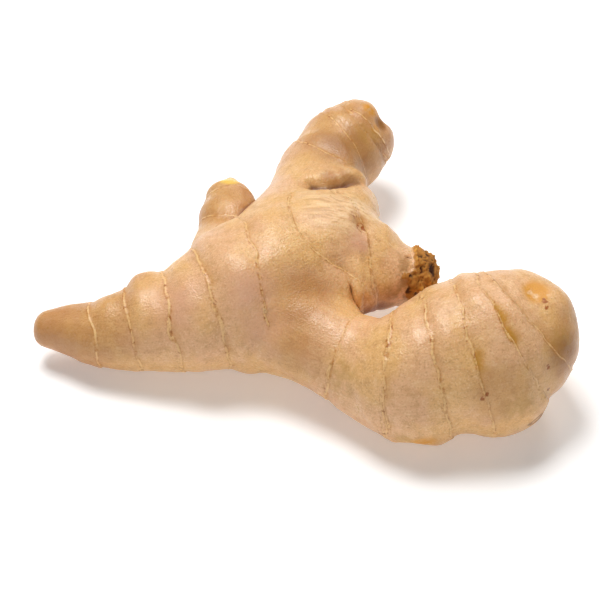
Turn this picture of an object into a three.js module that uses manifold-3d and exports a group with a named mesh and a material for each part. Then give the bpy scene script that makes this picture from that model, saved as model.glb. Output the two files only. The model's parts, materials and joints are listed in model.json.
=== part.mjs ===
// A fresh ginger rhizome lying on a surface: millimetres, +Z up, origin under the middle of its box.
// It grew as one piece, so it is one solid. A thick main axis runs from an old tapered end to a corky
// finger, and knobs, fingers and nubs branch from it. Leaf-scar rings go round every branch.
import * as THREE from "three";
import { mergeVertices } from "three/addons/utils/BufferGeometryUtils.js";
import Module from "manifold-3d";

const wasm = await Module();
wasm.setup();

// Driving dimensions of the skin, the same on every branch
const ringLip = 0.75; // height of the raised line that each fallen scale leaf left
const ringWidth = 1.0; // from the crest of that line to its foot
const internodeBulge = 1.2; // the skin swells this much between two rings
const ringWave = 0.7; // how far a ring wanders along the branch as it goes round
const lumpHeight = 0.55; // slow unevenness of the whole skin
const lumpLength = 17; // from one lump to the next
const loopSpacing = 4; // between the loops of the mesh on plain skin
const weldReach = 13; // skin this close to another branch swells to meet it
const corkDepth = 0.9; // depth of the crumbly relief on the corky end
const corkGrain = 2.6; // size of one crumb
const corkLength = 4; // the skin turns to cork over this length before the end
const ringFade = 6; // a ring stands straight within this distance of either end of its branch
const tipReach = 0.8; // a rounded end reaches this far past its last spine point, as a share of its radius
const probeSpacing = 1.5; // between the places on a spine where its distance from the skin is measured
const underside = { width: 300, depth: 40 }; // block under the surface that cuts the flats

// The branches. A spine point is [x, y, z, radius], from the root of the branch to its tip.
// rings: distance of the first ring from the root, first spacing, and how the spacing grows.
// slant: how far the rings lean along the branch, and the turn, in degrees, that leans furthest.
// pressedTo: the branch that this one only touches, with a sharp cleft between them instead of a weld.
const branches = {
  mainAxis: {
    spine: [
      [-69, -18, 10, 5.4], [-62, -19, 10.5, 7.8], [-53.5, -20.5, 11.5, 8.8], [-43, -21, 13, 10.6],
      [-30.5, -20, 15.5, 13.5], [-17, -15, 17.9, 17], [-3.5, -7, 19.5, 17.6], [7, -1.5, 20, 15.6],
      [16.5, -3, 19.2, 12.2], [25, -5.2, 18.5, 8.3], [31.5, -4.6, 18.5, 5.5],
    ],
    rings: { first: 9.5, spacing: 9.6, growth: 1.15 },
    slant: { by: 2.5, towards: 120 },
    sides: 32,
    tip: "cork",
  },
  arm: {
    spine: [
      [-17, -13.5, 21, 14], [-8.5, -2.5, 23, 13.2], [-2.5, 11.5, 22.5, 10.8], [4.5, 30.5, 20.5, 9.8],
      [13, 46.5, 20, 12.1], [15.8, 48.3, 21.5, 11.4],
    ],
    rings: { first: 46, spacing: 12, growth: 0.8 },
    slant: { by: 1.5, towards: 40 },
    sides: 26,
    tip: "scar",
  },
  smallFinger: {
    spine: [[-21, -2.5, 18, 9], [-21, 7, 18.5, 8.4], [-20.8, 16.5, 20.5, 8.1], [-20.5, 20.8, 21.8, 7.4]],
    rings: { first: 13, spacing: 6.5, growth: 0.8 },
    slant: { by: 1, towards: 0 },
    sides: 20,
    tip: "bud",
    pressedTo: "arm",
  },
  rightLobe: {
    spine: [
      [-18, -12, 17.5, 10], [-10, -19, 17, 11.2], [-1, -26.5, 16.5, 12], [8, -33, 16, 11.6],
      [15, -36, 15.5, 12.4], [23, -40, 17, 15.2], [31, -40.5, 19, 17.3], [39, -38.5, 20.4, 19],
      [49, -35, 21.6, 20], [59, -30.8, 22, 17],
    ],
    rings: { first: 32, spacing: 16, growth: 0.86 },
    slant: { by: 3, towards: 250 },
    sides: 32,
    tip: "scar",
  },
  frontNub: {
    spine: [[31.5, -43.5, 14, 8.4], [30.5, -48.5, 9, 7.8], [30, -51.2, 6.5, 7]],
    rings: { first: 9, spacing: 4, growth: 1 },
    slant: { by: 0, towards: 0 },
    sides: 18,
    tip: "cut",
  },
  lowerBump: {
    spine: [[51.5, -39.5, 16, 10.5], [53.5, -45.5, 11.5, 8.6], [54.8, -48, 9.8, 7.4]],
    rings: { first: 8, spacing: 4.5, growth: 1 },
    slant: { by: 0, towards: 0 },
    sides: 18,
    tip: "round",
  },
  shoulder: {
    spine: [[0, 2, 21, 12.6], [8.5, 14.5, 21.5, 10.8], [13, 21, 20.5, 8]],
    rings: { first: 17, spacing: 6, growth: 1 },
    slant: { by: 1, towards: 90 },
    sides: 20,
    tip: "round",
    pressedTo: "arm",
  },
  knuckle: {
    spine: [[18, -4.5, 19, 6], [20.5, 0.5, 19.5, 4.2], [22, 2.2, 19.5, 3.3]],
    rings: { first: 5, spacing: 5, growth: 1 },
    slant: { by: 0, towards: 0 },
    sides: 14,
    tip: "round",
  },
  sideBud: {
    spine: [[-42, -17.5, 17.5, 4.6], [-42.8, -14.3, 19, 3.5], [-43, -13, 19.4, 3]],
    rings: { first: 3.5, spacing: 4, growth: 1 },
    slant: { by: 0, towards: 0 },
    sides: 12,
    tip: "round",
  },
  heel: {
    spine: [[2, 29.5, 15, 8.5], [3, 33.5, 8, 7.6], [3.5, 35, 4.6, 6.8]],
    rings: { first: 8, spacing: 4, growth: 1 },
    slant: { by: 0, towards: 0 },
    sides: 18,
    tip: "cut",
  },
};

// How a branch ends: [radius, distance past the last spine point], as shares of the radius there
const quarterRound = (from, to, steps) =>
  Array.from({ length: steps }, (_, i) => {
    const turn = THREE.MathUtils.degToRad(THREE.MathUtils.lerp(from, to, i / (steps - 1)));
    return [Math.cos(turn), tipReach * Math.sin(turn)];
  });
const tips = {
  round: quarterRound(15, 80, 5),
  cork: quarterRound(20, 76, 5),
  bud: [...quarterRound(15, 62, 4), [0.36, 0.76], [0.2, 0.96], [0.08, 1.04]],
  scar: [...quarterRound(15, 64, 5), [0.36, 0.74], [0.3, 0.68], [0.12, 0.66]],
  cut: [...quarterRound(15, 40, 3), [0.7, 0.54], [0.3, 0.54]],
};

const up = new THREE.Vector3(0, 0, 1);

// Centre, axis, cross directions and radius of a branch at a distance along it, past both ends too
function stationOf(branch) {
  const { spine } = branch;
  const path = new THREE.CatmullRomCurve3(spine.map(([x, y, z]) => new THREE.Vector3(x, y, z)));
  const widths = new THREE.CatmullRomCurve3(spine.map(([, , , radius]) => new THREE.Vector3(radius, 0, 0)));
  const length = path.getLength();
  const at = (distance) => {
    const share = THREE.MathUtils.clamp(distance / length, 0, 1);
    const axis = path.getTangentAt(share);
    const centre = path.getPointAt(share).addScaledVector(axis, distance - share * length);
    const across = new THREE.Vector3().crossVectors(axis, up).normalize();
    const rise = new THREE.Vector3().crossVectors(across, axis);
    return { centre, axis, across, rise, radius: widths.getPoint(path.getUtoTmapping(share)).x };
  };
  return { length, at };
}

function ringsOf({ rings }, length) {
  const places = [];
  let at = rings.first;
  let gap = rings.spacing;
  while (at < length) {
    places.push(at);
    at += gap;
    gap *= rings.growth;
  }
  return places;
}

// Distances along the branch where the mesh has a loop: three on each ring, and some on the skin between
function loopsOf(rings, length) {
  const stops = [0, ...rings.flatMap((at) => [at - ringWidth, at, at + ringWidth]), length];
  const inside = [...new Set(stops)].filter((at) => at >= 0 && at <= length).sort((a, b) => a - b);
  return inside.flatMap((at, i) => {
    const next = inside[i + 1] ?? at;
    const steps = Math.max(1, Math.round((next - at) / loopSpacing));
    return Array.from({ length: steps }, (_, k) => at + ((next - at) * k) / steps);
  });
}

// Height of the skin over the plain radius at a distance along the branch: lips on rings, swells between
function ringRelief(at, rings) {
  const after = rings.findIndex((ring) => ring > at);
  const nearest = Math.min(...rings.map((ring) => Math.abs(ring - at)));
  const lip = ringLip * Math.max(0, 1 - nearest / ringWidth);
  if (after < 1) return lip;
  const share = (at - rings[after - 1]) / (rings[after] - rings[after - 1]);
  return lip + internodeBulge * 4 * share * (1 - share);
}

const wave = (p, size) =>
  Math.sin(p.x / size + 1.3 * Math.sin(p.y / size)) * Math.cos(p.y / size + 0.9 * Math.sin(p.z / size));
const lumps = (p) => lumpHeight * wave(p, lumpLength / Math.PI);
const crumbs = (p) => corkDepth * wave(p, corkGrain / Math.PI);

const stations = Object.fromEntries(Object.entries(branches).map(([name, b]) => [name, stationOf(b)]));

// Points along each branch with their radius, to tell how far a place is from its skin
const probes = Object.fromEntries(
  Object.entries(stations).map(([name, { length, at }]) => {
    const count = Math.ceil(length / probeSpacing);
    return [name, Array.from({ length: count + 1 }, (_, i) => at((length * i) / count))];
  }),
);
const distanceTo = (name, p) =>
  Math.min(...probes[name].map(({ centre, radius }) => centre.distanceTo(p) - radius));

const cleftBetween = (a, b) => branches[a].pressedTo === b || branches[b].pressedTo === a;

// Swelling of a branch's skin where it runs into another branch, so that they meet in a soft valley
function weld(name, p) {
  const swells = Object.keys(branches)
    .filter((other) => other !== name && !cleftBetween(name, other))
    .map((other) => Math.max(0, weldReach - Math.abs(distanceTo(other, p))) ** 2 / (4 * weldReach));
  return Math.max(...swells);
}

// The skin of one branch: the grid of a sphere, its rows laid as loops along the branch
function skinOf(name) {
  const branch = branches[name];
  const { length, at } = stations[name];
  const rings = ringsOf(branch, length);
  const endRadius = { root: at(0).radius, tip: at(length).radius };
  const rootEnd = tips.round.map(([r, past]) => ({ at: -past * endRadius.root, share: r })).reverse();
  const body = loopsOf(rings, length).map((distance) => ({ at: distance, share: 1 }));
  const tipEnd = tips[branch.tip].map(([r, past]) => ({ at: length + past * endRadius.tip, share: r }));
  const rows = [...rootEnd, ...body, ...tipEnd];
  const poles = [rows.at(-1).at, rows[0].at];

  const skin = new THREE.SphereGeometry(1, branch.sides, rows.length + 1);
  const { position, uv } = skin.attributes;
  for (let i = 0; i < position.count; i++) {
    const row = Math.round((1 - uv.getY(i)) * (rows.length + 1));
    const turn = Math.round(uv.getX(i) * branch.sides) % branch.sides;
    const angle = (turn / branch.sides) * 2 * Math.PI;
    const pole = row === 0 ? poles[0] : row === rows.length + 1 ? poles[1] : null;
    const point = pole === null ? skinPoint(name, rows[rows.length - row], angle, rings) : at(pole).centre;
    position.setXYZ(i, point.x, point.y, point.z);
  }
  return skin;
}

function skinPoint(name, row, angle, rings) {
  const branch = branches[name];
  const { length, at } = stations[name];
  const onBody = row.share === 1 ? 1 : 0;
  const lean = branch.slant.by * Math.cos(angle - THREE.MathUtils.degToRad(branch.slant.towards));
  const wander = ringWave * Math.sin(3 * angle + row.at / ringFade);
  const fade = onBody * Math.min(1, (length - row.at) / ringFade, row.at / ringFade);
  const { centre, across, rise, radius } = at(row.at + (lean + wander) * fade);
  const outward = across.clone().multiplyScalar(-Math.cos(angle)).addScaledVector(rise, Math.sin(angle));
  const plain = centre.clone().addScaledVector(outward, radius * row.share);
  const corky = branch.tip === "cork" ? THREE.MathUtils.smoothstep(row.at, length - corkLength, length) : 0;
  const relief = ringRelief(row.at, rings) * onBody + lumps(plain) + corky * crumbs(plain);
  return plain.addScaledVector(outward, relief * Math.min(1, row.share * 1.5) + weld(name, plain));
}

function solidOf(geometry) {
  const bare = geometry.clone().deleteAttribute("normal").deleteAttribute("uv");
  const merged = mergeVertices(bare, 1e-3);
  return new wasm.Manifold(
    new wasm.Mesh({
      numProp: 3,
      vertProperties: merged.attributes.position.array,
      triVerts: new Uint32Array(merged.index.array),
    }),
  );
}

function geometryOf(solid) {
  const { vertProperties, triVerts } = solid.getMesh();
  const geometry = new THREE.BufferGeometry();
  geometry.setAttribute("position", new THREE.BufferAttribute(vertProperties, 3));
  geometry.setIndex(new THREE.BufferAttribute(triVerts, 1));
  geometry.computeVertexNormals();
  return geometry;
}

// The surface that the rhizome lies on presses small flats into its lowest swellings
const surface = new THREE.BoxGeometry(underside.width, underside.width, underside.depth);
surface.translate(0, 0, -underside.depth / 2);
const grown = Object.keys(branches)
  .map((name) => solidOf(skinOf(name)))
  .reduce((whole, branch) => whole.add(branch))
  .subtract(solidOf(surface));

const skinMaterial = new THREE.MeshStandardMaterial({ color: "#d2a878", roughness: 0.55, metalness: 0 });
const rhizome = new THREE.Mesh(geometryOf(grown), skinMaterial);
rhizome.name = "ginger_rhizome";

const part = new THREE.Group();
part.add(rhizome);
export default part;
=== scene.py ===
import json
import math

import bpy
import numpy as np
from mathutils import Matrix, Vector, noise

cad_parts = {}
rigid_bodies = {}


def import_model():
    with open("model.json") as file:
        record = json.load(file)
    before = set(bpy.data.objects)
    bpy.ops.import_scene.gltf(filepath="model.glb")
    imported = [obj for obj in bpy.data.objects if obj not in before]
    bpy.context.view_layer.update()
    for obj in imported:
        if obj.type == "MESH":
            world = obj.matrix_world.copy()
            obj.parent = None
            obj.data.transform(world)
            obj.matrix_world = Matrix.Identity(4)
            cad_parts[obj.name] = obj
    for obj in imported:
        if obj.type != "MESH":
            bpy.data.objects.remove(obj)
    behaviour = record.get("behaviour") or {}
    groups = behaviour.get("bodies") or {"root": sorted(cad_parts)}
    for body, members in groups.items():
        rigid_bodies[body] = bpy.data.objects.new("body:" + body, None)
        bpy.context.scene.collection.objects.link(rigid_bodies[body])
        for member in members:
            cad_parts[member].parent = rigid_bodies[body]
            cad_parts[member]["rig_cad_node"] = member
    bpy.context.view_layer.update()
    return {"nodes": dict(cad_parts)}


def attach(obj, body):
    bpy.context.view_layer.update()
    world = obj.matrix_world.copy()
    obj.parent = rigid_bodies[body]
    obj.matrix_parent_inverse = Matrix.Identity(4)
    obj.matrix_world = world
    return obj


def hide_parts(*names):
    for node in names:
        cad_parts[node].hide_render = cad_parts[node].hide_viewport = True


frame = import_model()
mm = 0.001
print("frame loaded")

# The branches, on the solid's own spines. A spine point is x, y, z and radius in millimetres.
# A ring is its distance along the spine, how far it leans, and the turn in degrees that leans furthest.
# The rings sit where the photograph has them, some millimetres from the solid's own.
branches = {
    "mainAxis": {
        "spine": [
            (-69, -18, 10, 5.4), (-62, -19, 10.5, 7.8), (-53.5, -20.5, 11.5, 8.8), (-43, -21, 13, 10.6),
            (-30.5, -20, 15.5, 13.5), (-17, -15, 17.9, 17), (-3.5, -7, 19.5, 17.6), (7, -1.5, 20, 15.6),
            (16.5, -3, 19.2, 12.2), (25, -5.2, 18.5, 8.3), (31.5, -4.6, 18.5, 5.5),
        ],
        "ringEdge": 6,  # its rings run on this far where another branch lies over it
        "rings": [
            (12.5, 2.5, 180), (23.3, 1.6, 180), (34.9, 1, 0), (45.3, 1.5, 10), (57.5, 6, 20), (91, 19, 280),
            (90.8, 6.9, 187),
        ],
    },
    "arm": {
        "spine": [
            (-17, -13.5, 21, 14), (-8.5, -2.5, 23, 13.2), (-2.5, 11.5, 22.5, 10.8), (4.5, 30.5, 20.5, 9.8),
            (13, 46.5, 20, 12.1), (15.8, 48.3, 21.5, 11.4),
        ],
        "rings": [(53.8, 5.2, 305), (63.8, 6.5, 340), (73, 4, 150)],
    },
    "smallFinger": {
        "spine": [
            (-21, -2.5, 18, 9), (-21, 7, 18.5, 8.4), (-20.8, 16.5, 20.5, 8.1), (-20.5, 20.8, 21.8, 7.4),
        ],
        "rings": [(13, 1, 0), (23.5, 2, 130)],
    },
    "rightLobe": {
        "spine": [
            (-18, -12, 17.5, 10), (-10, -19, 17, 11.2), (-1, -26.5, 16.5, 12), (8, -33, 16, 11.6),
            (15, -36, 15.5, 12.4), (23, -40, 17, 15.2), (31, -40.5, 19, 17.3), (39, -38.5, 20.4, 19),
            (49, -35, 21.6, 20), (59, -30.8, 22, 17),
        ],
        "rings": [
            (36.1, 0.3, 0), (51, 3, 52), (62.5, 3, 350), (72.3, 3.3, 329), (84.4, 7, 276), (89.7, 8.5, 244),
        ],
    },
    "frontNub": {
        "spine": [(31.5, -43.5, 14, 8.4), (30.5, -48.5, 9, 7.8), (30, -51.2, 6.5, 7)],
        "rings": [],
    },
    "lowerBump": {
        "spine": [(51.5, -39.5, 16, 10.5), (53.5, -45.5, 11.5, 8.6), (54.8, -48, 9.8, 7.4)],
        "rings": [(10, 0, 0)],
    },
    "shoulder": {
        "spine": [(0, 2, 21, 12.6), (8.5, 14.5, 21.5, 10.8), (13, 21, 20.5, 8)],
        "rings": [],
    },
    "knuckle": {
        "spine": [(18, -4.5, 19, 6), (20.5, 0.5, 19.5, 4.2), (22, 2.2, 19.5, 3.3)],
        "rings": [],
    },
    "sideBud": {
        "spine": [(-42, -17.5, 17.5, 4.6), (-42.8, -14.3, 19, 3.5), (-43, -13, 19.4, 3)],
        "rings": [(3.5, 0, 0)],
    },
    "heel": {
        "spine": [(2, 29.5, 15, 8.5), (3, 33.5, 8, 7.6), (3.5, 35, 4.6, 6.8)],
        "rings": [(8, 0, 0)],
    },
}


def linear(hexText):
    # sRGB hex to the linear colour that shaders take
    parts = [int(hexText[i:i + 2], 16) / 255 for i in (1, 3, 5)]
    return [c / 12.92 if c <= 0.04045 else ((c + 0.055) / 1.055) ** 2.4 for c in parts] + [1]


def smoothStep(low, high, x):
    t = np.clip((x - low) / (high - low), 0, 1)
    return t * t * (3 - 2 * t)


seedStep = 17.3  # moves each seed's noise to another place


def noiseAt(points, size, seed):
    # smooth noise from -1 to 1 whose lumps are this many millimetres apart
    shifted = points / size + seedStep * seed
    return np.array([noise.noise(p) for p in shifted])


def chosen(piece):
    bpy.ops.object.select_all(action="DESELECT")
    piece.select_set(True)
    bpy.context.view_layer.objects.active = piece


def modified(piece, kind, **settings):
    chosen(piece)
    modifier = piece.modifiers.new(kind.lower(), kind)
    for key, value in settings.items():
        setattr(modifier, key, value)
    bpy.ops.object.modifier_apply(modifier=modifier.name)


def valuesOf(items, key, width, kind=float):
    flat = np.empty(len(items) * width, dtype=kind)
    items.foreach_get(key, flat)
    return flat.reshape(-1, width)


def movedTo(piece, points):
    piece.data.vertices.foreach_set("co", (points * mm).ravel())
    piece.data.update()


def spread(values, edges, times):
    # each value becomes the mean of its neighbours', so many times over
    ends = np.concatenate([edges[:, 0], edges[:, 1]])
    others = np.concatenate([edges[:, 1], edges[:, 0]])
    count = np.bincount(ends, minlength=len(values))
    for _ in range(times):
        values = np.bincount(ends, values[others], minlength=len(values)) / count
    return values


def group(piece, name, weights, levels=40):
    made = piece.vertex_groups.new(name=name)
    steps = np.round(np.clip(weights, 0, 1) * levels).astype(int)
    for step in range(1, levels + 1):
        members = np.flatnonzero(steps == step)
        if len(members):
            made.add(members.tolist(), step / levels, "REPLACE")
    return made.name


def refined(piece, faces):
    # splits the chosen faces in four
    chosen(piece)
    bpy.ops.object.mode_set(mode="EDIT")
    bpy.ops.mesh.select_mode(type="FACE")
    bpy.ops.mesh.select_all(action="DESELECT")
    bpy.ops.object.mode_set(mode="OBJECT")
    piece.data.polygons.foreach_set("select", faces)
    bpy.ops.object.mode_set(mode="EDIT")
    bpy.ops.mesh.subdivide(number_cuts=1, ngon=False)
    bpy.ops.object.mode_set(mode="OBJECT")


def smoothSpine(spine, perStretch=10):
    # smooth curve through the spine points, the radius with them
    points = np.array(spine, float)
    ends = np.vstack([2 * points[0] - points[1], points, 2 * points[-1] - points[-2]])
    t = np.linspace(0, 1, perStretch, endpoint=False)[:, None]
    stretches = [
        b + t / 2 * (c - a + t * (2 * a - 5 * b + 4 * c - d + t * (3 * (b - c) + d - a)))
        for a, b, c, d in zip(ends, ends[1:], ends[2:], ends[3:])
    ]
    return np.vstack(stretches + [points[-1:]])


def placeOn(branch, points):
    # where each point lies on a branch: distance from its skin, distance along it, turn round it, length
    curve = smoothSpine(branch["spine"])
    centres = curve[:, :3]
    radii = curve[:, 3]
    along = np.concatenate([[0], np.cumsum(np.linalg.norm(np.diff(centres, axis=0), axis=1))])
    axes = np.gradient(centres, along, axis=0)
    axes /= np.linalg.norm(axes, axis=1)[:, None]
    skinGap = np.full(len(points), np.inf)
    nearest = np.zeros(len(points), int)
    for i, (centre, radius) in enumerate(zip(centres, radii)):
        gap = np.sqrt(((points - centre) ** 2).sum(1)) - radius
        closer = gap < skinGap
        skinGap[closer] = gap[closer]
        nearest[closer] = i
    axis = axes[nearest]
    fromCentre = points - centres[nearest]
    past = (fromCentre * axis).sum(1)
    across = np.cross(axis, (0, 0, 1))
    across /= np.linalg.norm(across, axis=1)[:, None]
    rise = np.cross(across, axis)
    turn = np.arctan2((fromCentre * rise).sum(1), -(fromCentre * across).sum(1))
    radial = np.linalg.norm(fromCentre - past[:, None] * axis, axis=1)
    return {
        "gap": skinGap, "along": along[nearest] + past, "turn": turn, "radial": radial, "length": along[-1],
    }


def placesOf(points):
    return {name: placeOn(branch, points) for name, branch in branches.items()}


def bothNear(places, a, b, reach):
    # 1 where the skins of two branches cross, falling to 0 away from there
    apart = np.abs(places[a]["gap"] - places[b]["gap"])
    further = np.maximum(places[a]["gap"], places[b]["gap"])
    return np.exp(-((apart / reach) ** 2)) * smoothStep(1.6 * reach, 0.4 * reach, further)


def near(points, at, reach):
    return np.exp(-(((points - np.array(at)) ** 2).sum(1)) / reach ** 2)


def fromPath(points, path):
    # distance from a path of straight stretches
    corners = np.array(path, float)
    gap = np.full(len(points), np.inf)
    for a, b in zip(corners, corners[1:]):
        run = b - a
        t = np.clip((points - a) @ run / (run @ run), 0, 1)
        gap = np.minimum(gap, np.linalg.norm(points - a - t[:, None] * run, axis=1))
    return gap


# Rings: where a scale leaf sat, a line round the branch that wavers a little
ringLine = {
    "waver": 0.8, "waverSize": 7, "tremble": 0.3, "trembleSize": 2.4,
    "edge": 3.2,  # how far it runs on where another branch lies over its own
    "buried": 5,  # the gap to a ring that is wholly inside another branch
}


def ringsOn(points, places):
    # for each ring: the distance past it along its branch, and how far its branch is the outer one there
    outermost = np.min([place["gap"] for place in places.values()], axis=0)
    waver = ringLine["waver"] * noiseAt(points, ringLine["waverSize"], 1)
    waver += ringLine["tremble"] * noiseAt(points, ringLine["trembleSize"], 2)
    found = []
    for name, branch in branches.items():
        place = places[name]
        edge = branch.get("ringEdge", ringLine["edge"])
        here = smoothStep(edge, edge / 4, place["gap"] - outermost)
        for at, lean, towards in branch["rings"]:
            past = place["along"] - at - lean * np.cos(place["turn"] - math.radians(towards)) - waver
            found.append({"past": past, "here": here})
    return found


def ringGapOf(rings):
    hidden = ringLine["buried"]
    return np.min([np.abs(ring["past"]) + hidden * (1 - ring["here"]) for ring in rings], axis=0)


# Skin: the solid's own form, remeshed finely, its facets smoothed away and its relief raised again
skinMesh = {
    "voxel": 0.75,  # spacing of the fine mesh
    "facetSmoothing": 17,  # rounds of smoothing that take the facets away
    "junctionSmoothing": 46,  # more rounds where branches flow into each other
    "junctionReach": 4.5,
    "cleftReach": 2.2,
    "merged": 0.001,  # points of the solid's loose triangles this close become one
    "ringRefined": 0.8,  # the mesh is twice as fine this near a ring
    "corkRefined": 8.5,
    "creaseRefined": 1.5,  # in widths of the crease
}
softJunctions = {("rightLobe", "mainAxis"): 1, ("arm", "mainAxis"): 1, ("shoulder", "mainAxis"): 0.5}
softSpots = [((13, -15, 23), 9), ((10, 24, 29.5), 8.5)]
clefts = [("smallFinger", "arm"), ("smallFinger", "mainAxis"), ("knuckle", "shoulder")]

chosen(frame["nodes"]["ginger_rhizome"])
bpy.ops.object.duplicate()
skin = bpy.context.object
skin.name = "rhizome_skin"
skin.parent = None
del skin["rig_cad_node"]
bpy.ops.object.mode_set(mode="EDIT")
bpy.ops.mesh.select_all(action="SELECT")
bpy.ops.mesh.remove_doubles(threshold=skinMesh["merged"] * mm)
bpy.ops.object.mode_set(mode="OBJECT")
modified(skin, "REMESH", mode="VOXEL", voxel_size=skinMesh["voxel"] * mm)
modified(skin, "SMOOTH", factor=0.5, iterations=skinMesh["facetSmoothing"])

# Sculpted places, in millimetres: a hollow is its middle, reach and depth.
# A swelling is a hollow whose depth is below zero.
hollows = [
    ((15.7, -2.7, 34.3), 2.8, 0.9),  # dimple where the shoulder's folds meet
    ((61, -31, 38.6), 4.5, 1.1),  # scar of a broken shoot on the large lobe
    ((23, 46.3, 29), 4.2, 1.9),  # scar at the arm's end
    ((9.5, 22.5, 29), 5, -2.4),  # the arm's end hangs over the shoulder
    ((12, 28, 28.5), 4.5, -2),
    ((0.5, 15.5, 32.8), 2.4, 1),  # the crease below it fades out here
    ((4, 19.5, 30.5), 4, -1),
    ((15, 22, 27), 3.5, -1.8),
    ((-42.8, -13, 22.5), 3.2, -0.8),  # side bud
    ((67, -31, 34), 5, -0.9),  # corners of the large lobe
    ((64, -52, 17), 4.5, -0.8),
    ((22.5, 1.5, 28), 3.5, -0.7),  # knuckle
    ((13.5, -15.5, 25), 5, -3.5),  # the main axis runs on into its last finger
    ((15, -15.5, 20), 6, -4),
]
# a crease is its path, width and depth
creases = [
    ([(2.3, 15.5, 33), (6.6, 15.5, 33), (11.3, 17, 32), (15.5, 20, 29), (18.5, 22.5, 24)], 1.7, 2.2),
    ([(15.2, -12.6, 27.7), (18.8, -12.2, 26.9)], 0.35, 0.35),
    ([(17.6, -14, 24.7), (20.4, -13.6, 24.2)], 0.35, 0.3),
    ([(27.5, -9.5, 24), (30, -9.8, 22.6)], 0.45, 0.6),
    ([(28, -6.5, 26.4), (31, -6, 25.6)], 0.4, 0.5),
]
normals = valuesOf(skin.data.vertices, "normal", 3)
points = valuesOf(skin.data.vertices, "co", 3) / mm
depth = sum(deep * near(points, at, reach) for at, reach, deep in hollows)
movedTo(skin, points - normals * depth[:, None])

points = valuesOf(skin.data.vertices, "co", 3) / mm
places = placesOf(points)
soft = [
    weight * bothNear(places, a, b, skinMesh["junctionReach"])
    for (a, b), weight in softJunctions.items()
]
soft += [near(points, at, reach) for at, reach in softSpots]
modified(
    skin, "SMOOTH", factor=0.5, iterations=skinMesh["junctionSmoothing"],
    vertex_group=group(skin, "junction", np.max(soft, axis=0)),
)

corkMiddle = branches["mainAxis"]["spine"][-1][:3]
centres = valuesOf(skin.data.polygons, "center", 3) / mm
places = placesOf(centres)
fineFaces = ringGapOf(ringsOn(centres, places)) < skinMesh["ringRefined"]
fineFaces |= np.linalg.norm(centres - corkMiddle, axis=1) < skinMesh["corkRefined"]
for path, width, _ in creases:
    fineFaces |= fromPath(centres, path) < skinMesh["creaseRefined"] * width
refined(skin, fineFaces)
print("skin meshed:", len(skin.data.vertices), "points")

# Relief, in millimetres
relief = {
    "lip": 0.3,  # the raised edge that a fallen scale leaf left
    "dip": 0.3,  # the tender skin just past it lies lower
    "waist": 0.45,  # a branch is slimmer at its rings than between them
    "waistWidth": 2.8,
    "lipBefore": 0.7, "lipAfter": 0.2,  # how fast each falls away on either side of the ring
    "dipFrom": 0.3, "dipTo": 1.6,
    "bandBefore": 0.5, "bandAfter": 2.2,  # the coloured band
    "raggedSize": 1.4,
    "fadeSize": 8,  # stretches over which a ring fades and comes back
    "lumps": 0.35, "lumpSize": 11,
    "pimples": 0.035, "pimpleSize": 0.9,
    "wrinkles": 0.05, "wrinkleSize": 1.6,
    "folds": 0.25, "foldSize": 1.9, "foldsAt": (9, 3, 36), "foldsReach": 12.5,  # on the shoulder
    "foldStretch": (0.14, 1, 1),  # folds are long across the shoulder
    "fibreStretch": 0.16,  # fibres are long along a branch
    "cleftDepth": 0.9,
    "corkDepth": 1.0,
    "corkLength": 3.4,
    "corkFade": 1.2,
    "corkWaver": 1.8, "corkWaverSize": 3.5,  # the cork's edge wanders and frays
    "corkFray": 1.2, "corkFraySize": 1.3,
    "crumbSizes": (2.2, 1.1, 0.55),
    "crackLength": 5,
    "flatBelow": 0.12,  # skin this low lies on the surface
    "valleyRounds": 10,  # neighbours taken in when looking for valleys
}
shoulderRing = 5  # the ring whose far side is the folded shoulder
points = valuesOf(skin.data.vertices, "co", 3) / mm
normals = valuesOf(skin.data.vertices, "normal", 3)
edges = valuesOf(skin.data.edges, "vertices", 2, int)
flatSpot = points[:, 2] < relief["flatBelow"]
places = placesOf(points)
gaps = np.array([place["gap"] for place in places.values()])
outermost = gaps.min(axis=0)
owner = gaps.argmin(axis=0)
runnerUp = np.sort(gaps, axis=0)[1]
insideBranch = smoothStep(0.4, 2.5, runnerUp - outermost)  # 0 where two branches meet

height = relief["lumps"] * noiseAt(points, relief["lumpSize"], 3)
height = height + relief["pimples"] * noiseAt(points, relief["pimpleSize"], 8)
ragged = 0.55 + 0.45 * noiseAt(points, relief["raggedSize"], 9)
rings = ringsOn(points, places)
ringGap = ringGapOf(rings)
ringBand = np.zeros(len(points))
for i, ring in enumerate(rings):
    past = ring["past"]
    strength = ring["here"] * smoothStep(-0.9, 0.1, noiseAt(points, relief["fadeSize"], 20 + i))
    edge = np.where(past < 0, np.exp(past / relief["lipBefore"]), np.exp(-past / relief["lipAfter"]))
    lip = relief["lip"] * ragged * edge
    sunk = np.exp(-past / relief["dipTo"]) - np.exp(-past / relief["dipFrom"])
    dip = relief["dip"] * np.where(past < 0, 0, sunk)
    waist = relief["waist"] * np.exp(-((past / relief["waistWidth"]) ** 2))
    height += strength * (lip - dip) - ring["here"] * waist
    band = np.where(past < 0, np.exp(past / relief["bandBefore"]), np.exp(-past / relief["bandAfter"]))
    ringBand = np.maximum(ringBand, strength * band)

# long fibres and wrinkles follow each branch
ownPlace = {
    key: np.array([place[key] for place in places.values()])[owner, np.arange(len(points))]
    for key in ("along", "turn", "radial")
}
fibre = np.stack([
    ownPlace["radial"] * np.cos(ownPlace["turn"]),
    ownPlace["radial"] * np.sin(ownPlace["turn"]),
    relief["fibreStretch"] * ownPlace["along"] + 5 * owner,  # each branch has its own fibres
], axis=1)
height += relief["wrinkles"] * noiseAt(fibre, relief["wrinkleSize"], 4) * insideBranch

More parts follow.
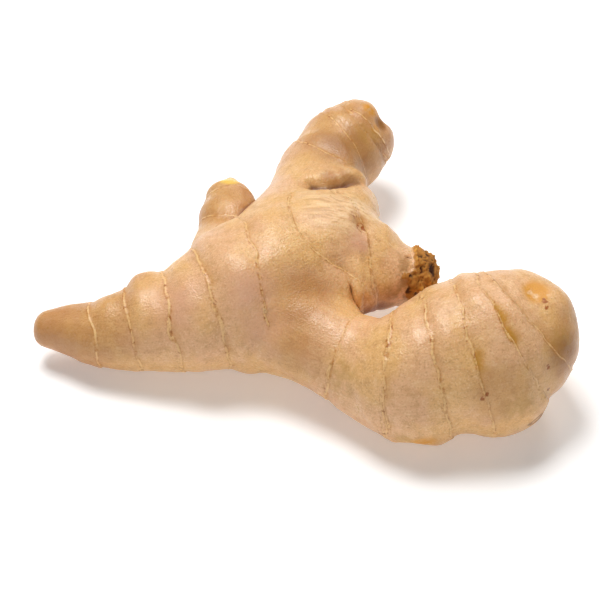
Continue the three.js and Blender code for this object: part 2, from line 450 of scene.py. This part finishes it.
# folds run across the shoulder into its dimple
folded = near(points, relief["foldsAt"], relief["foldsReach"])
folded = folded * smoothStep(-0.2, 0.8, rings[shoulderRing]["past"])
acrossShoulder = points * relief["foldStretch"]
height += relief["folds"] * folded * noiseAt(acrossShoulder, relief["foldSize"], 10)

cleft = np.max([bothNear(places, a, b, skinMesh["cleftReach"]) for a, b in clefts], axis=0)
height -= relief["cleftDepth"] * cleft
# how near each point lies to a crease, for the painted shade in it
creaseShade = np.zeros(len(points))
for path, width, deep in creases:
    closeness = np.exp(-((fromPath(points, path) / width) ** 2))
    height -= deep * closeness
    creaseShade = np.maximum(creaseShade, closeness)

# crumbly cork at the end of the main axis
corkEdge = relief["corkLength"] + relief["corkWaver"] * noiseAt(points, relief["corkWaverSize"], 5)
corkEdge = corkEdge + relief["corkFray"] * noiseAt(points, relief["corkFraySize"], 12)
fromCork = places["mainAxis"]["along"] - places["mainAxis"]["length"] + corkEdge
onMainAxis = owner == list(branches).index("mainAxis")
cork = smoothStep(0, relief["corkFade"], fromCork) * onMainAxis
cracked = smoothStep(-relief["crackLength"], 0, fromCork) * onMainAxis
coarse, middling, fine = relief["crumbSizes"]
crumbs = 0.5 + noiseAt(points, coarse, 6) + 0.8 * np.abs(noiseAt(points, middling, 7))
crumbs = crumbs + 0.4 * noiseAt(points, fine, 11)
height += relief["corkDepth"] * cork * crumbs

moved = points + normals * height[:, None]
moved[:, 2] = np.where(flatSpot, 0, np.maximum(moved[:, 2], 0))
movedTo(skin, moved)
bpy.ops.object.shade_smooth()

# painted shade: the skin is painted browner in the valleys of the finished form, by how far each point lies
# below its neighbours
normals = valuesOf(skin.data.vertices, "normal", 3)
points = valuesOf(skin.data.vertices, "co", 3) / mm
around = np.stack([spread(points[:, k], edges, relief["valleyRounds"]) for k in range(3)], axis=1)
valleyShade = np.clip(((around - points) * normals).sum(1), 0, None)

# Colour marks: each spot is its middle and reach in millimetres
marks = {
    "ochre": [
        ((61, -31, 38), 4.6), ((19.2, 48.5, 31), 3.2), ((21, 44, 29.4), 3), ((31.6, -59, 8.5), 4.2),
        ((37, -17, 20), 3), ((38, -5, 19), 2.5),
    ],
    "olive": [
        ((20.8, 42, 28.2), 4), ((67.4, -42.3, 31.1), 5), ((56.2, -56, 20.9), 6), ((17, 40, 29.5), 4),
        ((27, -57, 10), 5), ((11.5, -45, 21), 7),
    ],
    "rosy": [((-12.9, -26.7, 33.9), 9), ((-11, -32, 26), 9), ((15.1, -7.2, 33), 4), ((-34, -24, 26), 10)],
    "ringAmber": [((54, -48, 37), 5), ((46.5, -51.8, 33.4), 4), ((51, -42, 41), 4)],
    # amber-brown: the skin's own colour at the front nub's base and on the shoulder, painted shade at the
    # small finger's base, between the mid finger and the large lobe and above the crease under the knob
    "amberAndShade": [
        ((-14.6, 10, 30.6), 4), ((-12, 2, 33), 4), ((33, -60, 6), 5), ((14, -17, 18), 5), ((8, 19.5, 32), 4),
        ((14.6, 0, 34.5), 3.5),
    ],
    # darker brown patches: partly the skin's own browner tone, partly painted shade on the trunk's front,
    # the knob and the large lobe's far end
    "tanAndShade": [
        ((13, 38, 24), 17), ((-62, -18, 12), 24), ((-20, 14, 24), 12), ((70, -38, 24), 13),
        ((0, -26, 29), 10), ((1, -33, 20), 10), ((50, -52, 24), 9),
    ],
    # painted shade: darker brown on the knob's lower side, above the crease under it and at the large lobe's
    # far end
    "bronzeShade": [((10, 33, 28), 9), ((7, 18.3, 31.5), 3), ((12, 19.5, 30.5), 3.5), ((69, -45, 28), 7)],
    # painted shade: dark red-brown under the mid finger
    "undersideShade": [((19, -15, 14.5), 6)],
    "speck": [
        ((47.7, -56.8, 25.5), 0.9), ((46.4, -57, 24.4), 0.8), ((63.1, -33.8, 37.3), 1.1),
        ((63.6, -36, 36.8), 0.9), ((63.9, -50.2, 20.4), 0.9), ((70.8, -42.4, 21.7), 0.9),
        ((63.6, -48.4, 27.2), 0.9), ((-15.3, -23.5, 35.2), 0.8), ((-23.5, -28, 30.5), 0.7),
        ((15.6, -2.4, 33.6), 1.7), ((13.2, 0.6, 35), 1.3),
    ],
    "scar": [((23.3, 46.3, 28.6), 3.3), ((61.5, -52.5, 11), 3)],
    "bud": [((-20.3, 24.5, 28.5), 4.2)],
}
attributes = {
    "ringGap": ringGap, "ringBand": ringBand, "cork": cork, "valleyShade": valleyShade, "folded": folded,
    "insideBranch": insideBranch, "creaseShade": np.maximum(cleft, creaseShade), "cracked": cracked, "crumbs": crumbs,
}
for name, spots in marks.items():
    attributes[name] = np.max([near(points, at, reach) for at, reach in spots], axis=0)
for name, values in attributes.items():
    made = skin.data.attributes.new(name, "FLOAT", "POINT")
    made.data.foreach_set("value", values.astype(np.float32))
fibreCoords = skin.data.attributes.new("fibre", "FLOAT_VECTOR", "POINT")
fibreCoords.data.foreach_set("vector", fibre.astype(np.float32).ravel())
print("relief raised; hollow up to", round(float(valleyShade.max()), 2), "mm")


def addNode(tree, kind, settings=(), links=(), **values):
    # values are the node's own settings, settings its sockets' constants, links its sockets' sources
    node = tree.nodes.new(kind)
    for key, value in values.items():
        setattr(node, key, value)
    for socket, value in dict(settings).items():
        node.inputs[socket].default_value = value
    for socket, source in dict(links).items():
        tree.links.new(source, node.inputs[socket])
    return node


# Fresh ginger skin: thin, satin periderm over pale flesh. It reads as warm tan with a rosy cast and
# fine grain, a cream papery edge and an amber band at each leaf scar, painted shade in the valleys, creases,
# undersides and shaded sides, and crumbly cork at a broken end with painted shade and highlights on its
# crumbs.
skinLook = {
    "tan": "#e3b274",
    # noises by the size of their lumps in millimetres, their detail and the coordinates they run on
    "noises": {
        "cloud": (15, 3, "object"), "mottle": (2.8, 4, "object"), "ragged": (1.2, 3, "object"),
        "grain": (0.5, 2, "object"), "fibres": (0.6, 3, "fibre"), "streaks": (0.9, 3, "shoulder"),
    },
    "streakStretch": (0.12, 1, 1),  # streaks run across the shoulder with its folds
    "roughness": (0.27, 0.42), "corkRoughness": 0.9,
    "bump": 0.7, "bumpDepth": 0.21,  # depth in millimetres
    "ior": 1.45,
    "fleshGlow": 0.15, "fleshReach": 2.2, "fleshColour": (1.0, 0.45, 0.18),  # light that enters the flesh
    # a layer is its colour, its strength and its masks: each mask's range becomes 0 to 1, and they multiply
    "layers": [
        ("#e2b083", 0.9, [("cloud", 0.42, 0.6)]),
        ("#c48f58", 0.42, [("mottle", 0.5, 0.7)]),
        ("#efc896", 0.35, [("mottle", 0.48, 0.3)]),
        ("#b07a44", 0.38, [("grain", 0.54, 0.7)]),
        ("#f6d8ac", 0.4, [("grain", 0.46, 0.3)]),
        ("#b78350", 0.2, [("fibres", 0.52, 0.7), ("insideBranch", 0, 1)]),
        ("#f1cd9c", 0.2, [("fibres", 0.48, 0.3), ("insideBranch", 0, 1)]),
        ("#efc793", 0.5, [("folded", 0.2, 0.9)]),
        ("#f6d8ab", 0.4, [("streaks", 0.5, 0.62), ("folded", 0.2, 0.8)]),
        ("#b07a44", 0.4, [("streaks", 0.47, 0.36), ("folded", 0.2, 0.8)]),
        ("#dba488", 0.55, [("rosy", 0.15, 1)]),
        # darker brown: partly the skin's own browner tone, partly painted shade
        ("#b47a42", 0.75, [("tanAndShade", 0.1, 0.9), ("cloud", 0.1, 0.6)]),
        # painted shade: darker brown on the knob's lower side, above the crease under it and at the large
        # lobe's far end
        ("#93602c", 0.6, [("bronzeShade", 0.1, 0.9), ("cloud", 0.2, 0.6)]),
        # amber-brown: partly the skin's own colour, partly painted shade
        ("#b87a36", 0.7, [("amberAndShade", 0.2, 0.9), ("mottle", 0.25, 0.6)]),
        ("#bd9147", 0.45, [("olive", 0.25, 0.9), ("mottle", 0.3, 0.6)]),
        ("#d8921f", 0.95, [("ochre", 0.25, 0.8), ("mottle", 0.26, 0.5)]),
        ("#c58c45", 0.6, [("ringBand", 0.25, 1), ("cloud", 0.35, 0.6)]),
        ("#bf8628", 0.85, [("ringAmber", 0.2, 0.8), ("ringBand", 0.12, 0.7)]),
        ("#b8752f", 0.65, [("ringGap", 0.8, 0.2), ("ragged", 0.42, 0.6)]),
        ("#efc78c", 0.78, [("ringGap", 0.34, 0.08), ("mottle", 0.36, 0.5)]),
        ("#a0581c", 0.85, [("ringGap", 0.6, 0.3), ("ragged", 0.58, 0.66), ("mottle", 0.46, 0.58)]),
        # painted shade: dark brown in the valleys of the form
        ("#8a4d1f", 0.8, [("valleyShade", 0.1, 0.5)]),
        # painted shade: dark red-brown under the mid finger
        ("#7a3a12", 0.8, [("undersideShade", 0.15, 0.8)]),
        # painted shade: near black in the creases and in the clefts between branches
        ("#5a260c", 0.8, [("creaseShade", 0.45, 1)]),
        ("#9c4f14", 0.9, [("speck", 0.3, 0.6), ("ragged", 0.42, 0.56)]),
        ("#8f5a1c", 0.85, [("scar", 0.3, 0.5), ("scar", 0.92, 0.7), ("mottle", 0.26, 0.42)]),
        ("#a87c48", 0.8, [("scar", 0.72, 0.9), ("ragged", 0.36, 0.56)]),
        ("#f2c65c", 0.95, [("bud", 0.35, 0.65)]),
        ("#a67c4c", 0.6, [("cracked", 0.2, 0.9), ("mottle", 0.42, 0.6)]),
        ("#b57a32", 1.0, [("cork", 0.25, 0.6)]),
        # painted shade: near black in the low places between the cork's crumbs
        ("#3f1d0b", 0.95, [("cork", 0.3, 0.7), ("crumbs", 0.7, 0.15)]),
        # painted highlight: golden on the raised crumbs
        ("#e0a84c", 0.9, [("cork", 0.3, 0.7), ("crumbs", 0.9, 1.4), ("ragged", 0.42, 0.55)]),
    ],
}


def gingerSkin(look):
    material = bpy.data.materials.new("fresh_ginger_skin")
    material.use_nodes = True
    tree = material.node_tree
    shader = tree.nodes["Principled BSDF"]
    source = {
        name: addNode(tree, "ShaderNodeAttribute", attribute_name=name).outputs["Fac"]
        for name in attributes
    }
    objectCoords = addNode(tree, "ShaderNodeTexCoord").outputs["Object"]
    inMillimetres = addNode(
        tree, "ShaderNodeVectorMath", {1: (1 / mm, 1 / mm, 1 / mm)}, {0: objectCoords}, operation="MULTIPLY"
    ).outputs["Vector"]
    coords = {
        "object": inMillimetres,
        "shoulder": addNode(
            tree, "ShaderNodeMapping", {"Scale": look["streakStretch"]}, {"Vector": inMillimetres}
        ).outputs["Vector"],
        "fibre": addNode(tree, "ShaderNodeAttribute", attribute_name="fibre").outputs["Vector"],
    }
    for name, (size, detail, where) in look["noises"].items():
        source[name] = addNode(
            tree, "ShaderNodeTexNoise", {"Scale": 1 / size, "Detail": detail}, {"Vector": coords[where]}
        ).outputs["Fac"]

    colour = None
    for tint, strength, masks in look["layers"]:
        mask = None
        for name, low, high in masks:
            ranged = addNode(
                tree, "ShaderNodeMapRange",
                {"From Min": low, "From Max": high, "To Max": 1 if mask else strength},
                {"Value": source[name]}, interpolation_type="SMOOTHSTEP",
            ).outputs["Result"]
            mask = addNode(
                tree, "ShaderNodeMath", (), {0: mask, 1: ranged}, operation="MULTIPLY"
            ).outputs[0] if mask else ranged
        # a colour mix takes its mask at socket 0, what lies below at 6 and the new tint at 7
        mix = addNode(tree, "ShaderNodeMix", {7: linear(tint)}, {0: mask}, data_type="RGBA")
        if colour is None:
            mix.inputs[6].default_value = linear(look["tan"])
        else:
            tree.links.new(colour, mix.inputs[6])
        colour = mix.outputs[2]
    tree.links.new(colour, shader.inputs["Base Color"])

    smoothest, dullest = look["roughness"]
    satin = addNode(
        tree, "ShaderNodeMapRange",
        {"From Min": 0.3, "From Max": 0.7, "To Min": smoothest, "To Max": dullest},
        {"Value": source["mottle"]},
    ).outputs["Result"]
    dry = addNode(
        tree, "ShaderNodeMapRange", {"To Max": look["corkRoughness"]}, {"Value": source["cork"]}
    ).outputs["Result"]
    rough = addNode(tree, "ShaderNodeMath", (), {0: satin, 1: dry}, operation="MAXIMUM").outputs[0]
    tree.links.new(rough, shader.inputs["Roughness"])
    fine = addNode(
        tree, "ShaderNodeMath", {1: 0.5}, {0: source["fibres"], 2: source["grain"]}, operation="MULTIPLY_ADD"
    ).outputs[0]
    bump = addNode(
        tree, "ShaderNodeBump", {"Strength": look["bump"], "Distance": look["bumpDepth"] * mm},
        {"Height": fine},
    )
    tree.links.new(bump.outputs["Normal"], shader.inputs["Normal"])
    shader.inputs["IOR"].default_value = look["ior"]
    shader.inputs["Subsurface Weight"].default_value = look["fleshGlow"]
    shader.inputs["Subsurface Radius"].default_value = look["fleshColour"]
    shader.inputs["Subsurface Scale"].default_value = look["fleshReach"] * mm
    return material


skin.data.materials.clear()
skin.data.materials.append(gingerSkin(skinLook))
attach(skin, "root")
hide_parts("ginger_rhizome")
print("skin painted")

# Floor, light and camera
studio = {
    "floorSize": 3.0, "floorColour": "#fafafa", "floorRoughness": 0.9,
    "floorGlow": 0.22,  # keeps the shadow pale
    "sky": 0.1,
    "keySize": 0.7, "keyPower": 23, "keyAt": (-0.3, 0.4, 1.48),
    "rimSize": 0.9, "rimPower": 18, "rimAt": (0.8, 1.9, 1.9),
    "fillSize": 1.0, "fillPower": 3.6, "fillAt": (0.1, -1.3, 0.7),
    "lightTarget": (0, 0, 0.02),
    "target": (-1 * mm, 3.5 * mm, 0), "distance": 0.9, "elevation": 45, "lens": 194.4, "sensor": 36,
}
bpy.ops.object.select_all(action="DESELECT")
bpy.ops.mesh.primitive_plane_add(size=studio["floorSize"])
floor = bpy.context.object
floor.name = "floor"
paper = bpy.data.materials.new("white_paper")
paper.use_nodes = True
paperShader = paper.node_tree.nodes["Principled BSDF"]
paperShader.inputs["Base Color"].default_value = linear(studio["floorColour"])
paperShader.inputs["Roughness"].default_value = studio["floorRoughness"]
paperShader.inputs["Emission Color"].default_value = (1, 1, 1, 1)
paperShader.inputs["Emission Strength"].default_value = studio["floorGlow"]
floor.data.materials.append(paper)

world = bpy.data.worlds.new("studio")
world.use_nodes = True
background = world.node_tree.nodes["Background"]
background.inputs["Color"].default_value = (1, 1, 1, 1)
background.inputs["Strength"].default_value = studio["sky"]
bpy.context.scene.world = world
bpy.context.scene.view_settings.view_transform = "Standard"


def aimed(thing, target):
    thing.rotation_euler = (Vector(target) - thing.location).to_track_quat("-Z", "Y").to_euler()


for name in ("key", "rim", "fill"):
    bpy.ops.object.light_add(type="AREA", location=studio[name + "At"])
    light = bpy.context.object
    light.name = name
    light.data.size = studio[name + "Size"]
    light.data.energy = studio[name + "Power"]
    aimed(light, studio["lightTarget"])

tilt = math.radians(studio["elevation"])
offset = Vector((0, -math.cos(tilt), math.sin(tilt))) * studio["distance"]
bpy.ops.object.camera_add(location=Vector(studio["target"]) + offset)
camera = bpy.context.object
camera.data.lens = studio["lens"]
camera.data.sensor_width = studio["sensor"]
aimed(camera, studio["target"])
bpy.context.scene.camera = camera
print("studio set")
